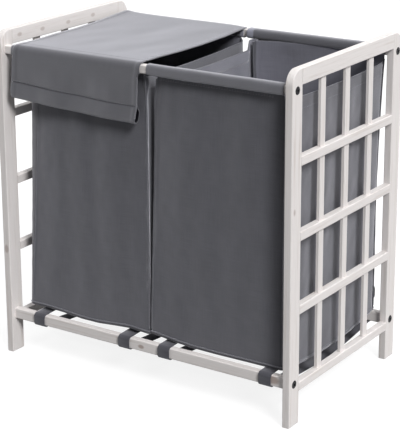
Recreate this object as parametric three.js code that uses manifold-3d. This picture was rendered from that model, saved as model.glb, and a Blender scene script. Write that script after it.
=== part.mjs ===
// Laundry hamper with two cloth bins: a pine frame of two mortised lattice panels joined by four
// bolted rails, two bags that hang from the upper rails by sleeves, strapped to the lower rails,
// and a cloth lid with a front flap on each bag.
// Millimetres. X runs along the rails, Y from front to back, Z up. The origin is on the floor,
// under the middle of the frame.

import * as THREE from 'three';
import { mergeVertices } from 'three/addons/utils/BufferGeometryUtils.js';
import Module from 'manifold-3d';

const wasm = await Module();
wasm.setup();

// Frame sizes
const frameWidth = 620;
const frameDepth = 385;
const frameHeight = 620;
const legThickness = 14;
const legWidth = 32;
const edgeEase = 1.5;
const topCornerRadius = 26;

// Lattice panel: one tall rail at the top, four rungs, three slats
const panelRailHeight = 28;
const rungHeight = 16;
const bottomRungTop = 74;
const lowerRungTop = 213;
const rungPitch = 129.5;
const slatWidth = 16;
const slatThickness = 5;
const mortiseDepth = 10;
const mortiseClearance = 0.3;
const seatGap = 0.3;

// Long rails
const railThickness = 14;
const topRailHeight = 15;
const bottomRailHeight = 20;
const railEase = 2;
const topRailDrop = 34.5;
const bottomRailCentre = 76;

// Dowels, glued into the ends of the rungs and panel rails, that join them to the legs
const dowelDiameter = 6;
const dowelReach = 12;
const dowelClearance = 0.3;
const dowelEndPlay = 0.5;
const panelRailDowelShares = [0.28, 0.72];
const rungDowelShares = [0.5];

// Connector bolts and barrel nuts that join the long rails to the legs
const boltDiameter = 6;
const boltHeadDiameter = 14;
const boltHeadHeight = 2.4;
const boltHeadProud = 0.6;
const boltHeadEase = 0.8;
const boltLength = 56;
const boltClearance = 0.3;
const boltBoreOverrun = 4;
const hexSocketWidth = 4;
const hexSocketDepth = 1.8;
const nutDiameter = 10;
const nutLength = 12;
const boltPastNut = 4.8;
const nutClearance = 0.3;
const nutSlotWidth = 1.6;
const nutSlotDepth = 1.2;

// Bags: the sleeves nearly fill the upper rails, and the bodies are narrower and less deep
const clothThickness = 2;
const sleeveClothThickness = 1.6;
const sleeveClearance = 0.4;
const bagShift = 4;
const sleeveEndGap = 11.5;
const sleeveMiddleGap = 9;
const bodyNarrowing = 6;
const bodyMiddleGap = 4;
const bodyDrawIn = 11.5;
const bagCornerRadius = 18;
const bagBottomRadius = 7;
const bagAboveRail = 6;
const bagBottomSag = 15;
const sideHemDrop = 12;
const sideHemMargin = 0.5;

// Straps that hold the foot of each bag to the lower rails
const strapWidth = 25;
const strapThickness = 1.6;
const strapClearance = 0.5;
const leftOuterStrapInset = 37;
const rightOuterStrapInset = 23;
const innerStrapInset = 41.5;
const strapSag = 14;
const strapBendRadius = 2.4;
const strapLap = 21.5;

// Lids
const lidInset = 0.5;
const lidThickness = 2.4;
const lidSag = 3.5;
const foldStandOff = 4.5;
const flapLength = 107;
const flapHemHeight = 30;
const flapHemThickness = 8;

// Facet counts
const easeSteps = 2;
const topCornerSteps = 8;
const roundSides = 10;
const headSides = 18;
const bagCornerSteps = 4;
const bagSideSteps = 6;
const bagFrontSteps = 2;
const lidSteps = 10;
const strapSagSteps = 12;
const strapBendSteps = 4;

// How far a cutting body runs past the face that it cuts
const cutOverrun = 2;

// Places worked out from the sizes
const legCentreX = (frameWidth - legThickness) / 2;
const legCentreY = (frameDepth - legWidth) / 2;
const panelSpan = frameDepth - 2 * legWidth;
const railSpan = frameWidth - 2 * legThickness;
const panelRailBottom = frameHeight - panelRailHeight;
const slatPositions = [-1, 0, 1].map((place) => (place * (panelSpan + slatWidth)) / 4);
const rungTops = {
  bottom_rung: bottomRungTop,
  lower_rung: lowerRungTop,
  middle_rung: lowerRungTop + rungPitch,
  upper_rung: lowerRungTop + 2 * rungPitch,
};
const topRailCentre = frameHeight - topRailDrop;
const railRise = { top: topRailCentre, bottom: bottomRailCentre };
const railHeights = { top: topRailHeight, bottom: bottomRailHeight };
const boltUnderHead = boltHeadHeight - boltHeadProud;
const nutInset = boltLength + boltUnderHead - legThickness - nutDiameter / 2 - boltPastNut;
const sleeveThickness = railThickness + 2 * (sleeveClearance + sleeveClothThickness);
const sleeveHeight = topRailHeight + 2 * (sleeveClearance + sleeveClothThickness);
const sleeveTop = topRailCentre + sleeveHeight / 2;
const sleeveBottom = topRailCentre - sleeveHeight / 2;
const sleeveBack = legCentreY + sleeveThickness / 2;
const sleeveInside = legCentreY - sleeveThickness / 2;
const sleeveWidth = (railSpan - sleeveMiddleGap) / 2 - sleeveEndGap;
const sleevePitch = sleeveWidth + sleeveMiddleGap;
const bodyWidth = sleeveWidth - bodyNarrowing;
const bodyPitch = bodyWidth + bodyMiddleGap;
const bodyDepth = 2 * (legCentreY - bodyDrawIn);
const bagBottomEdge = bottomRailCentre + bottomRailHeight / 2 + bagAboveRail;
const sideWallTop = sleeveBottom - sideHemDrop;
const lidWidth = bodyWidth - 2 * lidInset;
const lidAxisY = sleeveBack + seatGap + lidThickness / 2;
const lidAxisZ = sleeveTop + seatGap + lidThickness / 2;
const lidLength = lidAxisY + sleeveBack + foldStandOff;
// How far a nut's middle lies from its rail's middle, towards the inner face
const nutOffset = (railThickness - nutLength) / 2;

// Finishes
const washedPine = { color: 0xdcd7d2, roughness: 0.62, metalness: 0 };
const blackSteel = { color: 0x17171a, roughness: 0.42, metalness: 0.9 };
const zincSteel = { color: 0xb9bcc0, roughness: 0.35, metalness: 1 };
const greyCloth = { color: 0x55555c, roughness: 0.95, metalness: 0 };
const greyWebbing = { color: 0x4a4a51, roughness: 0.9, metalness: 0 };

const hamper = new THREE.Group();

// Geometry helpers

function toSolid(geometry) {
  const bare = geometry.clone();
  bare.deleteAttribute('normal');
  bare.deleteAttribute('uv');
  const merged = mergeVertices(bare);
  return new wasm.Manifold(new wasm.Mesh({
    numProp: 3,
    vertProperties: new Float32Array(merged.attributes.position.array),
    triVerts: new Uint32Array(merged.index.array),
  }));
}

function toGeometry(solid) {
  const mesh = solid.getMesh();
  const geometry = new THREE.BufferGeometry();
  geometry.setAttribute('position', new THREE.BufferAttribute(new Float32Array(mesh.vertProperties), 3));
  geometry.setIndex(new THREE.BufferAttribute(new Uint32Array(mesh.triVerts), 1));
  geometry.computeVertexNormals();
  return geometry;
}

function cut(geometry, cutters) {
  return toGeometry(cutters.reduce((solid, cutter) => solid.subtract(toSolid(cutter)), toSolid(geometry)));
}

function join(geometry, additions) {
  return toGeometry(additions.reduce((solid, addition) => solid.add(toSolid(addition)), toSolid(geometry)));
}

function addPiece(name, geometry, finish, position = new THREE.Vector3()) {
  const mesh = new THREE.Mesh(geometry, new THREE.MeshStandardMaterial(finish));
  mesh.name = name;
  mesh.position.copy(position);
  hamper.add(mesh);
}

// An outline with eased corners, centred on zero
function easedRectangle(width, height, radius) {
  const shape = new THREE.Shape();
  const x = width / 2 - radius;
  const y = height / 2 - radius;
  shape.absarc(x, y, radius, 0, Math.PI / 2, false);
  shape.absarc(-x, y, radius, Math.PI / 2, Math.PI, false);
  shape.absarc(-x, -y, radius, Math.PI, 1.5 * Math.PI, false);
  shape.absarc(x, -y, radius, 1.5 * Math.PI, 2 * Math.PI, false);
  return shape;
}

// A bar with eased long edges, centred, lying along X or Y
function easedBar(axis, length, width, height, radius) {
  const bar = new THREE.ExtrudeGeometry(easedRectangle(width, height, radius), {
    depth: length,
    bevelEnabled: false,
    curveSegments: easeSteps,
  });
  bar.translate(0, 0, -length / 2);
  bar.rotateX(Math.PI / 2);
  return axis === 'x' ? bar.rotateZ(Math.PI / 2) : bar;
}

// A round body, centred, lying along X or Y
function rod(axis, diameter, length, sides = roundSides) {
  const cylinder = new THREE.CylinderGeometry(diameter / 2, diameter / 2, length, sides);
  return axis === 'x' ? cylinder.rotateZ(Math.PI / 2) : cylinder;
}

// An outline drawn in Y and Z, given its length along X and centred there
function extrudeAlongX(shape, length, curveSegments) {
  const body = new THREE.ExtrudeGeometry(shape, { depth: length, bevelEnabled: false, curveSegments });
  body.translate(0, 0, -length / 2);
  return body.rotateX(Math.PI / 2).rotateZ(Math.PI / 2);
}

// Frame: legs

// The leg's side outline: square at the foot, rounded at the outer top corner
function legOutline() {
  const half = legWidth / 2 - edgeEase;
  const top = frameHeight - edgeEase;
  const radius = topCornerRadius - edgeEase;
  const shape = new THREE.Shape();
  shape.moveTo(-half, edgeEase);
  shape.lineTo(half, edgeEase);
  shape.lineTo(half, top);
  shape.lineTo(radius - half, top);
  shape.absarc(radius - half, top - radius, radius, Math.PI / 2, Math.PI, false);
  shape.lineTo(-half, edgeEase);
  return shape;
}

// Where dowels enter the legs: the height of each, from the pieces that they join
function dowelHeights() {
  const heights = (bottom, height, shares) => shares.map((share) => bottom + share * height);
  const rungBottoms = Object.values(rungTops).map((top) => top - rungHeight);
  const rungDowels = rungBottoms.flatMap((bottom) => heights(bottom, rungHeight, rungDowelShares));
  return [...rungDowels, ...heights(panelRailBottom, panelRailHeight, panelRailDowelShares)];
}

// A front leg, foot at zero, with its inner edge towards +Y and its outer face towards +X
function legGeometry() {
  const blank = new THREE.ExtrudeGeometry(legOutline(), {
    depth: legThickness - 2 * edgeEase,
    bevelEnabled: true,
    bevelThickness: edgeEase,
    bevelSize: edgeEase,
    bevelSegments: easeSteps,
    curveSegments: topCornerSteps,
  });
  blank.translate(0, 0, edgeEase - legThickness / 2);
  blank.rotateX(Math.PI / 2).rotateZ(Math.PI / 2);
  const cutters = [];
  const holeDepth = dowelReach + dowelEndPlay;
  for (const height of dowelHeights()) {
    const hole = rod('y', dowelDiameter + 2 * dowelClearance, holeDepth + cutOverrun);
    cutters.push(hole.translate(0, (legWidth - holeDepth + cutOverrun) / 2, height));
  }
  for (const height of Object.values(railRise)) {
    const bore = rod('x', boltDiameter + 2 * boltClearance, legThickness + 2 * cutOverrun);
    cutters.push(bore.translate(0, 0, height));
    const recess = rod('x', boltHeadDiameter + 2 * boltClearance, boltUnderHead + cutOverrun, headSides);
    cutters.push(recess.translate((legThickness - boltUnderHead + cutOverrun) / 2, 0, height));
  }
  return cut(blank, cutters);
}

// Frame: rungs, panel rail and slats

function slatMortise(height) {
  const width = slatWidth + 2 * mortiseClearance;
  const thickness = slatThickness + 2 * mortiseClearance;
  return new THREE.BoxGeometry(thickness, width, height);
}

function endDowels(shares, height) {
  const length = dowelReach + cutOverrun;
  return [-1, 1].flatMap((end) => shares.map((share) => {
    const dowel = rod('y', dowelDiameter, length);
    return dowel.translate(0, (end * (panelSpan + dowelReach - cutOverrun)) / 2, (share - 1 / 2) * height);
  }));
}

// A rung that the slats pass through
function openRungGeometry() {
  const mortises = slatPositions.map((y) => slatMortise(rungHeight + 2 * cutOverrun).translate(0, y, 0));
  const blank = easedBar('y', panelSpan, legThickness, rungHeight, edgeEase);
  return join(cut(blank, mortises), endDowels(rungDowelShares, rungHeight));
}

// A rung or panel rail that the slats end in; side is 1 when they enter from above
function blindRungGeometry(height, side, dowelShares) {
  const depth = mortiseDepth + mortiseClearance;
  const centre = (side * (height - depth + cutOverrun)) / 2;
  const mortises = slatPositions.map((y) => slatMortise(depth + cutOverrun).translate(0, y, centre));
  const blank = easedBar('y', panelSpan, legThickness, height, edgeEase);
  return join(cut(blank, mortises), endDowels(dowelShares, height));
}

function slatGeometry() {
  const length = panelRailBottom - bottomRungTop + 2 * mortiseDepth;
  return new THREE.BoxGeometry(slatThickness, slatWidth, length);
}

// One lattice panel. side is -1 for the left panel and 1 for the right one.
function addPanel(name, side) {
  const x = side * legCentreX;
  for (const [place, end] of [['front', -1], ['rear', 1]]) {
    // Half a turn puts a right front leg on the left, at the rear, with its outer face still out
    const leg = side > 0 ? legGeometry() : legGeometry().rotateZ(Math.PI);
    const placed = side * end > 0 ? mirrorInY(leg) : leg;
    addPiece(`${name}_${place}_leg`, placed, washedPine, new THREE.Vector3(x, end * legCentreY, 0));
  }
  const railPlace = new THREE.Vector3(x, 0, frameHeight - panelRailHeight / 2);
  const panelRail = blindRungGeometry(panelRailHeight, -1, panelRailDowelShares);
  addPiece(`${name}_panel_rail`, panelRail, washedPine, railPlace);
  for (const [rung, top] of Object.entries(rungTops)) {
    const open = top > bottomRungTop;
    const geometry = open ? openRungGeometry() : blindRungGeometry(rungHeight, 1, rungDowelShares);
    addPiece(`${name}_${rung}`, geometry, washedPine, new THREE.Vector3(x, 0, top - rungHeight / 2));
  }
  ['front', 'middle', 'rear'].forEach((place, index) => {
    const slatPlace = new THREE.Vector3(x, slatPositions[index], (panelRailBottom + bottomRungTop) / 2);
    addPiece(`${name}_${place}_slat`, slatGeometry(), washedPine, slatPlace);
  });
}

// The same body with front and back exchanged
function mirrorInY(geometry) {
  const mirrored = geometry.clone();
  mirrored.scale(1, -1, 1);
  const index = mirrored.index.array;
  for (let corner = 0; corner < index.length; corner += 3) {
    [index[corner], index[corner + 1]] = [index[corner + 1], index[corner]];
  }
  mirrored.computeVertexNormals();
  return mirrored;
}

// Long rails and their bolts

// A rail, bored at both ends for the bolts and drilled from its inner face, towards +Y, for the nuts
function longRailGeometry(height) {
  const cutters = [];
  const boreDepth = boltLength - legThickness + boltBoreOverrun;
  for (const end of [-1, 1]) {
    const bore = rod('x', boltDiameter + 2 * boltClearance, boreDepth + cutOverrun);
    cutters.push(bore.translate((end * (railSpan - boreDepth + cutOverrun)) / 2, 0, 0));
    const depth = nutLength + nutClearance;
    const pocket = rod('y', nutDiameter + 2 * nutClearance, depth + cutOverrun, headSides);
    const y = (railThickness - depth + cutOverrun) / 2;
    cutters.push(pocket.translate(end * (railSpan / 2 - nutInset), y, 0));
  }
  return cut(easedBar('x', railSpan, railThickness, height, railEase), cutters);
}

// A connector bolt with a low round head and a hexagon socket, head outwards along +X from zero
function boltGeometry() {
  const headRadius = boltHeadDiameter / 2;
  const shankRadius = boltDiameter / 2;
  const profile = [
    new THREE.Vector2(0, -boltUnderHead - boltLength),
    new THREE.Vector2(shankRadius, -boltUnderHead - boltLength),
    new THREE.Vector2(shankRadius, -boltUnderHead),
    new THREE.Vector2(headRadius, -boltUnderHead),
    new THREE.Vector2(headRadius, boltHeadProud - boltHeadEase),
    new THREE.Vector2(headRadius - boltHeadEase, boltHeadProud),
    new THREE.Vector2(0, boltHeadProud),
  ];
  const body = new THREE.LatheGeometry(profile, headSides).rotateZ(-Math.PI / 2);
  const socket = rod('x', hexSocketWidth / Math.cos(Math.PI / 6), hexSocketDepth + cutOverrun, 6);
  socket.translate(boltHeadProud + (cutOverrun - hexSocketDepth) / 2, 0, 0);
  return cut(body, [socket]);
}

// A barrel nut lying along Y, with its cross hole along X and a slot in the end that shows
function barrelNutGeometry() {
  const crossHole = rod('x', boltDiameter + 2 * boltClearance, nutDiameter + 2 * cutOverrun);
  crossHole.translate(0, -nutOffset, 0);
  const slot = new THREE.BoxGeometry(nutDiameter + 2 * cutOverrun, nutSlotDepth + cutOverrun, nutSlotWidth);
  slot.translate(0, (nutLength - nutSlotDepth + cutOverrun) / 2, 0);
  return cut(rod('y', nutDiameter, nutLength, headSides), [crossHole, slot]);
}

function addLongRails() {
  for (const [level, rise] of Object.entries(railRise)) {
    const front = longRailGeometry(railHeights[level]);
    const rear = mirrorInY(longRailGeometry(railHeights[level]));
    addPiece(`front_${level}_rail`, front, washedPine, new THREE.Vector3(0, -legCentreY, rise));
    addPiece(`rear_${level}_rail`, rear, washedPine, new THREE.Vector3(0, legCentreY, rise));
  }
}

// Four bolts and four nuts on one side. side is -1 for the left and 1 for the right.
function addFasteners(name, side) {
  for (const [place, end] of [['front', -1], ['rear', 1]]) {
    for (const [level, height] of Object.entries(railRise)) {
      const bolt = boltGeometry();
      if (side < 0) bolt.rotateZ(Math.PI);
      const boltPlace = new THREE.Vector3((side * frameWidth) / 2, end * legCentreY, height);
      addPiece(`${name}_${place}_${level}_bolt`, bolt, blackSteel, boltPlace);
      const nut = barrelNutGeometry();
      if (end > 0) nut.rotateZ(Math.PI);
      const y = end * (legCentreY - nutOffset);
      const nutPlace = new THREE.Vector3(side * (railSpan / 2 - nutInset), y, height);
      addPiece(`${name}_${place}_${level}_nut`, nut, zincSteel, nutPlace);
    }
  }
}

// Bags

// Half of a rounded rectangle's corner points, from the front edge round to the rear edge
function halfOutline(halfWidth, halfDepth, radius) {
  const points = [];
  const sideX = halfWidth - radius;
  const sideY = halfDepth - radius;
  for (let step = 1; step < bagFrontSteps; step += 1) {
    points.push([(sideX * step) / bagFrontSteps, -halfDepth]);
  }
  for (let step = 0; step <= bagCornerSteps; step += 1) {
    const angle = (step / bagCornerSteps - 1) * (Math.PI / 2);
    points.push([sideX + radius * Math.cos(angle), radius * Math.sin(angle) - sideY]);
  }
  for (let step = 1; step < bagSideSteps; step += 1) {
    points.push([halfWidth, sideY * ((2 * step) / bagSideSteps - 1)]);
  }
  for (let step = 0; step <= bagCornerSteps; step += 1) {
    const angle = (step / bagCornerSteps) * (Math.PI / 2);
    points.push([sideX + radius * Math.cos(angle), sideY + radius * Math.sin(angle)]);
  }
  for (let step = bagFrontSteps - 1; step > 0; step -= 1) {
    points.push([(sideX * step) / bagFrontSteps, halfDepth]);
  }
  return points;
}

// A closed body lofted through rings of equal count, with ends that span from side to side
function loft(levels) {
  const rings = levels.map(({ centre, width, depth, radius, heightAt }) => {
    const half = halfOutline(width / 2, depth / 2, radius);
    const right = half.map(([x, y]) => [centre + x, y, heightAt(y)]);
    const left = half.map(([x, y]) => [centre - x, y, heightAt(y)]).reverse();
    return [...right, ...left];
  });
  const count = rings[0].length;
  const positions = rings.flat(2);
  const triangles = [];
  for (let level = 0; level + 1 < rings.length; level += 1) {
    for (let point = 0; point < count; point += 1) {
      const next = (point + 1) % count;
      const [a, b] = [level * count + point, level * count + next];
      const [c, d] = [a + count, b + count];
      triangles.push(a, b, d, a, d, c);
    }
  }
  const last = (rings.length - 1) * count;
  for (let point = 0; point + 1 < count / 2; point += 1) {
    const [a, b, c, d] = [point, point + 1, count - 2 - point, count - 1 - point];
    triangles.push(a, c, b, a, d, c);
    triangles.push(last + a, last + b, last + c, last + a, last + c, last + d);
  }
  const body = new THREE.BufferGeometry();
  body.setAttribute('position', new THREE.Float32BufferAttribute(positions, 3));
  body.setIndex(triangles);
  return body;
}

// How the cloth draws in from the sleeves to the body: height shares from foot to sleeve, and how
// far each level has come from the body's size and place to the sleeve's
const drawLevels = [
  { heightShare: 0.14, sleeveShare: 0 },
  { heightShare: 0.6, sleeveShare: 0.06 },
  { heightShare: 0.85, sleeveShare: 0.3 },
  { heightShare: 0.95, sleeveShare: 0.62 },
  { heightShare: 1, sleeveShare: 1 },
];

// The bag's body, drawn in on every side by inset and open above when that isn't zero
function bagBody(side, inset) {
  const top = sleeveBottom + sleeveClothThickness / 2;
  const sleeveDepth = 2 * legCentreY + clothThickness;
  const mix = (lower, upper, share) => lower + (upper - lower) * share;
  const size = (share) => ({
    centre: bagShift + (side * mix(bodyPitch, sleevePitch, share)) / 2,
    width: mix(bodyWidth, sleeveWidth, share) - 2 * inset,
    depth: mix(bodyDepth, sleeveDepth, share) - 2 * inset,
    radius: bagCornerRadius - inset,
  });
  const sagAt = (y) => bagBottomEdge - bagBottomSag * (1 - ((2 * y) / bodyDepth) ** 2) + inset;
  const foot = size(0);
  const floor = {
    ...foot,
    width: foot.width - 2 * bagBottomRadius,
    depth: foot.depth - 2 * bagBottomRadius,
    heightAt: sagAt,
  };
  const levels = [floor, { ...foot, heightAt: (y) => sagAt(y) + bagBottomRadius }];
  for (const { heightShare, sleeveShare } of drawLevels) {
    const height = mix(bagBottomEdge, top, heightShare) + (heightShare === 1 && inset > 0 ? cutOverrun : 0);
    levels.push({ ...size(sleeveShare), heightAt: () => height });
  }
  return loft(levels);
}

// A sleeve round one upper rail. end is -1 at the front and 1 at the rear.
function sleeve(centreX, end) {
  const bend = railEase + sleeveClearance;
  const ring = easedRectangle(sleeveThickness, sleeveHeight, bend + sleeveClothThickness);
  const [width, height] = [railThickness + 2 * sleeveClearance, topRailHeight + 2 * sleeveClearance];
  ring.holes.push(easedRectangle(width, height, bend));
  return extrudeAlongX(ring, sleeveWidth, easeSteps).translate(centreX, end * legCentreY, topRailCentre);
}

function bagGeometry(side) {
  const centreX = bagShift + (side * sleevePitch) / 2;
  const shell = toSolid(bagBody(side, 0)).subtract(toSolid(bagBody(side, clothThickness)));
  const notchHeight = sleeveTop - sideWallTop;
  const notchReach = 2 * (sleeveInside - sideHemMargin);
  const notch = new THREE.BoxGeometry(sleeveWidth + 2 * cutOverrun, notchReach, notchHeight);
  notch.translate(centreX, 0, sideWallTop + notchHeight / 2);
  const open = shell.subtract(toSolid(notch));
  return toGeometry(open.add(toSolid(sleeve(centreX, -1))).add(toSolid(sleeve(centreX, 1))));
}

// Straps

// The strap's middle line in Y and Z, from under the bag's front edge, over, round and under the
// front rail, across in a slack curve and round the rear rail in the same way
function strapLine() {
  const offset = strapClearance + strapThickness / 2;
  const face = legCentreY + railThickness / 2 + offset;
  const back = legCentreY - railThickness / 2;
  const above = bottomRailCentre + bottomRailHeight / 2 + offset;
  const below = bottomRailCentre - bottomRailHeight / 2 - offset;
  const points = [new THREE.Vector2(strapLap - back, above), new THREE.Vector2(-back, above)];
  const bend = (centreZ, from) => {
    for (let step = 0; step <= strapBendSteps; step += 1) {
      const angle = from + (step / strapBendSteps) * (Math.PI / 2);
      const y = strapBendRadius - face + strapBendRadius * Math.cos(angle);
      points.push(new THREE.Vector2(y, centreZ + strapBendRadius * Math.sin(angle)));
    }
  };
  bend(above - strapBendRadius, Math.PI / 2);
  bend(below + strapBendRadius, Math.PI);
  for (let step = 0; step < strapSagSteps / 2; step += 1) {
    const y = -back * (1 - (2 * step) / strapSagSteps);
    points.push(new THREE.Vector2(y, below - strapSag * (1 - (y / back) ** 2)));
  }
  const rear = points.map((point) => new THREE.Vector2(-point.x, point.y)).reverse();
  return [...points, new THREE.Vector2(0, below - strapSag), ...rear];
}

function strapGeometry() {
  const line = strapLine();
  const sides = [1, -1].map((side) => line.map((point, index) => {
    const before = line[Math.max(index - 1, 0)];
    const after = line[Math.min(index + 1, line.length - 1)];
    const along = after.clone().sub(before).normalize();
    const across = new THREE.Vector2(-along.y, along.x).multiplyScalar((side * strapThickness) / 2);
    return point.clone().add(across);
  }));
  return extrudeAlongX(new THREE.Shape([...sides[0], ...sides[1].reverse()]), strapWidth, 1);
}

function addBag(name, side, outerStrapInset) {
  addPiece(`${name}_bag`, bagGeometry(side), greyCloth);
  const centreX = bagShift + (side * bodyPitch) / 2;
  for (const [place, way, inset] of [['outer', side, outerStrapInset], ['inner', -side, innerStrapInset]]) {
    const strapPlace = new THREE.Vector3(centreX + way * (bodyWidth / 2 - inset), 0, 0);
    addPiece(`${name}_bag_${place}_strap`, strapGeometry(), greyWebbing, strapPlace);
  }
}

// Lids

// The lid's side outline from its hinge at zero towards -Y: round ends, flat over the sleeves and
// slack between them
function lidOutline() {
  const radius = lidThickness / 2;
  const sagStart = lidAxisY - sleeveInside;
  const sagSpan = 2 * sleeveInside;
  const slack = [];
  for (let step = 0; step <= lidSteps; step += 1) {
    const share = step / lidSteps;
    slack.push([-(sagStart + sagSpan * share), -lidSag * 4 * share * (1 - share)]);
  }
  const shape = new THREE.Shape();
  shape.moveTo(0, radius);
  slack.forEach(([y, z]) => shape.lineTo(y, z + radius));
  shape.lineTo(-lidLength, radius);
  shape.absarc(-lidLength, 0, radius, Math.PI / 2, 1.5 * Math.PI, false);
  slack.reverse().forEach(([y, z]) => shape.lineTo(y, z - radius));
  shape.lineTo(0, -radius);
  shape.absarc(0, 0, radius, -Math.PI / 2, Math.PI / 2, false);
  return shape;
}

// The flap's side outline, hanging from its fold at zero, with a doubled hem at its foot
function flapOutline() {
  const half = lidThickness / 2;
  const hemHalf = flapHemThickness / 2;
  const start = -(half + seatGap);
  const hemTop = flapHemHeight - flapLength;
  const shape = new THREE.Shape();
  shape.moveTo(-half, start);
  shape.lineTo(-half, hemTop + hemHalf);
  shape.lineTo(-hemHalf, hemTop);
  shape.lineTo(-hemHalf, hemHalf - flapLength);
  shape.absarc(0, hemHalf - flapLength, hemHalf, Math.PI, 2 * Math.PI, false);
  shape.lineTo(hemHalf, hemTop);
  shape.lineTo(half, hemTop + hemHalf);
  shape.lineTo(half, start);
  return shape;
}

// A lid and its flap. The left lid is shut and the right one is thrown back, hanging behind its bag.
function addLid(name, side, thrownBack) {
  const hinge = new THREE.Vector3(bagShift + (side * bodyPitch) / 2, lidAxisY, lidAxisZ);
  const lid = extrudeAlongX(lidOutline(), lidWidth, easeSteps);
  const flap = extrudeAlongX(flapOutline(), lidWidth, easeSteps);
  const fold = hinge.clone();
  if (thrownBack) {
    lid.rotateX(Math.PI / 2);
    fold.z -= lidLength;
  } else {
    fold.y -= lidLength;
  }
  addPiece(`${name}_lid`, lid, greyCloth, hinge);
  addPiece(`${name}_lid_flap`, flap, greyCloth, fold);
}

addPanel('left', -1);
addPanel('right', 1);
addLongRails();
addFasteners('left', -1);
addFasteners('right', 1);
addBag('left', -1, leftOuterStrapInset);
addBag('right', 1, rightOuterStrapInset);
addLid('left', -1, false);
addLid('right', 1, true);

export default hamper;
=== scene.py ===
# %% [markdown]
# # A laundry hamper with two bins
#
# The real object is a stand of whitewashed pine that carries two grey cloth bags. The wood comes
# from the CAD model, which is exact, so it only needs a good finish. The cloth is what CAD is poor
# at, so every cloth piece is made again here, as a soft shell that sags where the cloth would.

# %% Load the fixed frame
import math
import bpy
import numpy as np
from mathutils import Matrix, Vector


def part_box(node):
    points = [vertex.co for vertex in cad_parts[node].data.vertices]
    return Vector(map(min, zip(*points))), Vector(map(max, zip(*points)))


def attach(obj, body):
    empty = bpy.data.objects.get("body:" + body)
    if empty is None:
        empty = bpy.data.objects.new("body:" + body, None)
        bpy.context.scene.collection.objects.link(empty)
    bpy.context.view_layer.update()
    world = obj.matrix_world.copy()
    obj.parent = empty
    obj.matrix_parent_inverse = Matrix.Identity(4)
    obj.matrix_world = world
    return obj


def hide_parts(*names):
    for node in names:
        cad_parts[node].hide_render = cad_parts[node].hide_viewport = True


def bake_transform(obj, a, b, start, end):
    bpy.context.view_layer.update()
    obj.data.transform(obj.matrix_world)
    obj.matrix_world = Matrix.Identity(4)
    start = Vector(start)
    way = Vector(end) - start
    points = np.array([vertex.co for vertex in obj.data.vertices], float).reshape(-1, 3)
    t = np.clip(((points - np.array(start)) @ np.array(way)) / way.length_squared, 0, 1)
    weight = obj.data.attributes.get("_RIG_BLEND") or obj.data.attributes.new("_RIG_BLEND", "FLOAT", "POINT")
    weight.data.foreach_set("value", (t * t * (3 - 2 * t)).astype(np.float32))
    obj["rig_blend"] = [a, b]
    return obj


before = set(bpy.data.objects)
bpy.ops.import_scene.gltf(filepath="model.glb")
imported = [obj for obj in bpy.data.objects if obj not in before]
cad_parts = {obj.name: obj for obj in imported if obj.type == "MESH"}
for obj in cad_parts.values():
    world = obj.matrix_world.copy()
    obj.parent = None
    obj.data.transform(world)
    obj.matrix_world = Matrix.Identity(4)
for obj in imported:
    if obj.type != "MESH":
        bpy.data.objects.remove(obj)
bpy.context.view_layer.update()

# %% [markdown]
# ## Small tools
#
# Sizes are easiest to read in millimetres, and Blender works in metres, so one constant turns the
# one into the other. Shaders work with linear light, while colours are picked as sRGB hex values,
# so one function translates them. The others add an object, a material or a node with its settings
# and links, which keeps every node tree below short enough to read.

# %% Units, colours, objects and nodes
MM = 0.001


def linear(hex_colour):
    """An sRGB hex colour as the linear values that a shader works with."""
    shares = [int(hex_colour[place:place + 2], 16) / 255 for place in (1, 3, 5)]
    return tuple(s / 12.92 if s <= 0.04045 else ((s + 0.055) / 1.055) ** 2.4 for s in shares) + (1.0,)


def add_object(name, data):
    made = bpy.data.objects.new(name, data)
    bpy.context.collection.objects.link(made)
    return made


def add_node(tree, kind, inputs=(), output=0, **settings):
    """Add a node, set its inputs to values or link them to outputs, and give one of its outputs."""
    node = tree.nodes.new(kind)
    for name, value in settings.items():
        setattr(node, name, value)
    for key, value in dict(inputs).items():
        if isinstance(value, bpy.types.NodeSocket):
            tree.links.new(value, node.inputs[key])
        else:
            node.inputs[key].default_value = value
    return node.outputs[output] if node.outputs else None


def calculate(tree, operation, *values):
    return add_node(tree, "ShaderNodeMath", dict(enumerate(values)), operation=operation)


def spread(tree, value, low, high, start, end, **settings):
    """A value between low and high, spread out to lie between start and end."""
    ranges = {"Value": value, "From Min": low, "From Max": high, "To Min": start, "To Max": end}
    return add_node(tree, "ShaderNodeMapRange", ranges, **settings)


def mix(tree, share, first, second):
    return add_node(tree, "ShaderNodeMix", {"Factor": share, 6: first, 7: second}, output=2, data_type="RGBA")


def brighten(tree, colour, factor):
    return add_node(tree, "ShaderNodeVectorMath", {0: colour, "Scale": factor}, operation="SCALE")


def noise(tree, place, pitches, detail, roughness=0.5, shift=0.0):
    """Noise with a pitch along each axis."""
    mapped = add_node(tree, "ShaderNodeMapping",
                      {"Vector": place, "Scale": [1 / pitch for pitch in pitches], "Location": (shift,) * 3})
    return add_node(tree, "ShaderNodeTexNoise",
                    {"Vector": mapped, "Scale": 1.0, "Detail": detail, "Roughness": roughness})


def raised(tree, height, strength, distance):
    return add_node(tree, "ShaderNodeBump", {"Height": height, "Strength": strength, "Distance": distance})


def start_material(name):
    material = bpy.data.materials.new(name)
    material.use_nodes = True
    material.node_tree.nodes.clear()
    return material, material.node_tree


def end_material(tree, kind, inputs):
    add_node(tree, "ShaderNodeOutputMaterial", {"Surface": add_node(tree, kind, inputs)})


print("white is", linear("#FFFFFF"))

# %% [markdown]
# ## The camera
#
# The photo was taken from the front right, from a little above the hamper. A camera can be placed
# by eye, but here it was worked out from the edges of the wood. Its far place and long lens keep
# the uprights nearly parallel. The small shift slides the picture without turning the camera.

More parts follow.
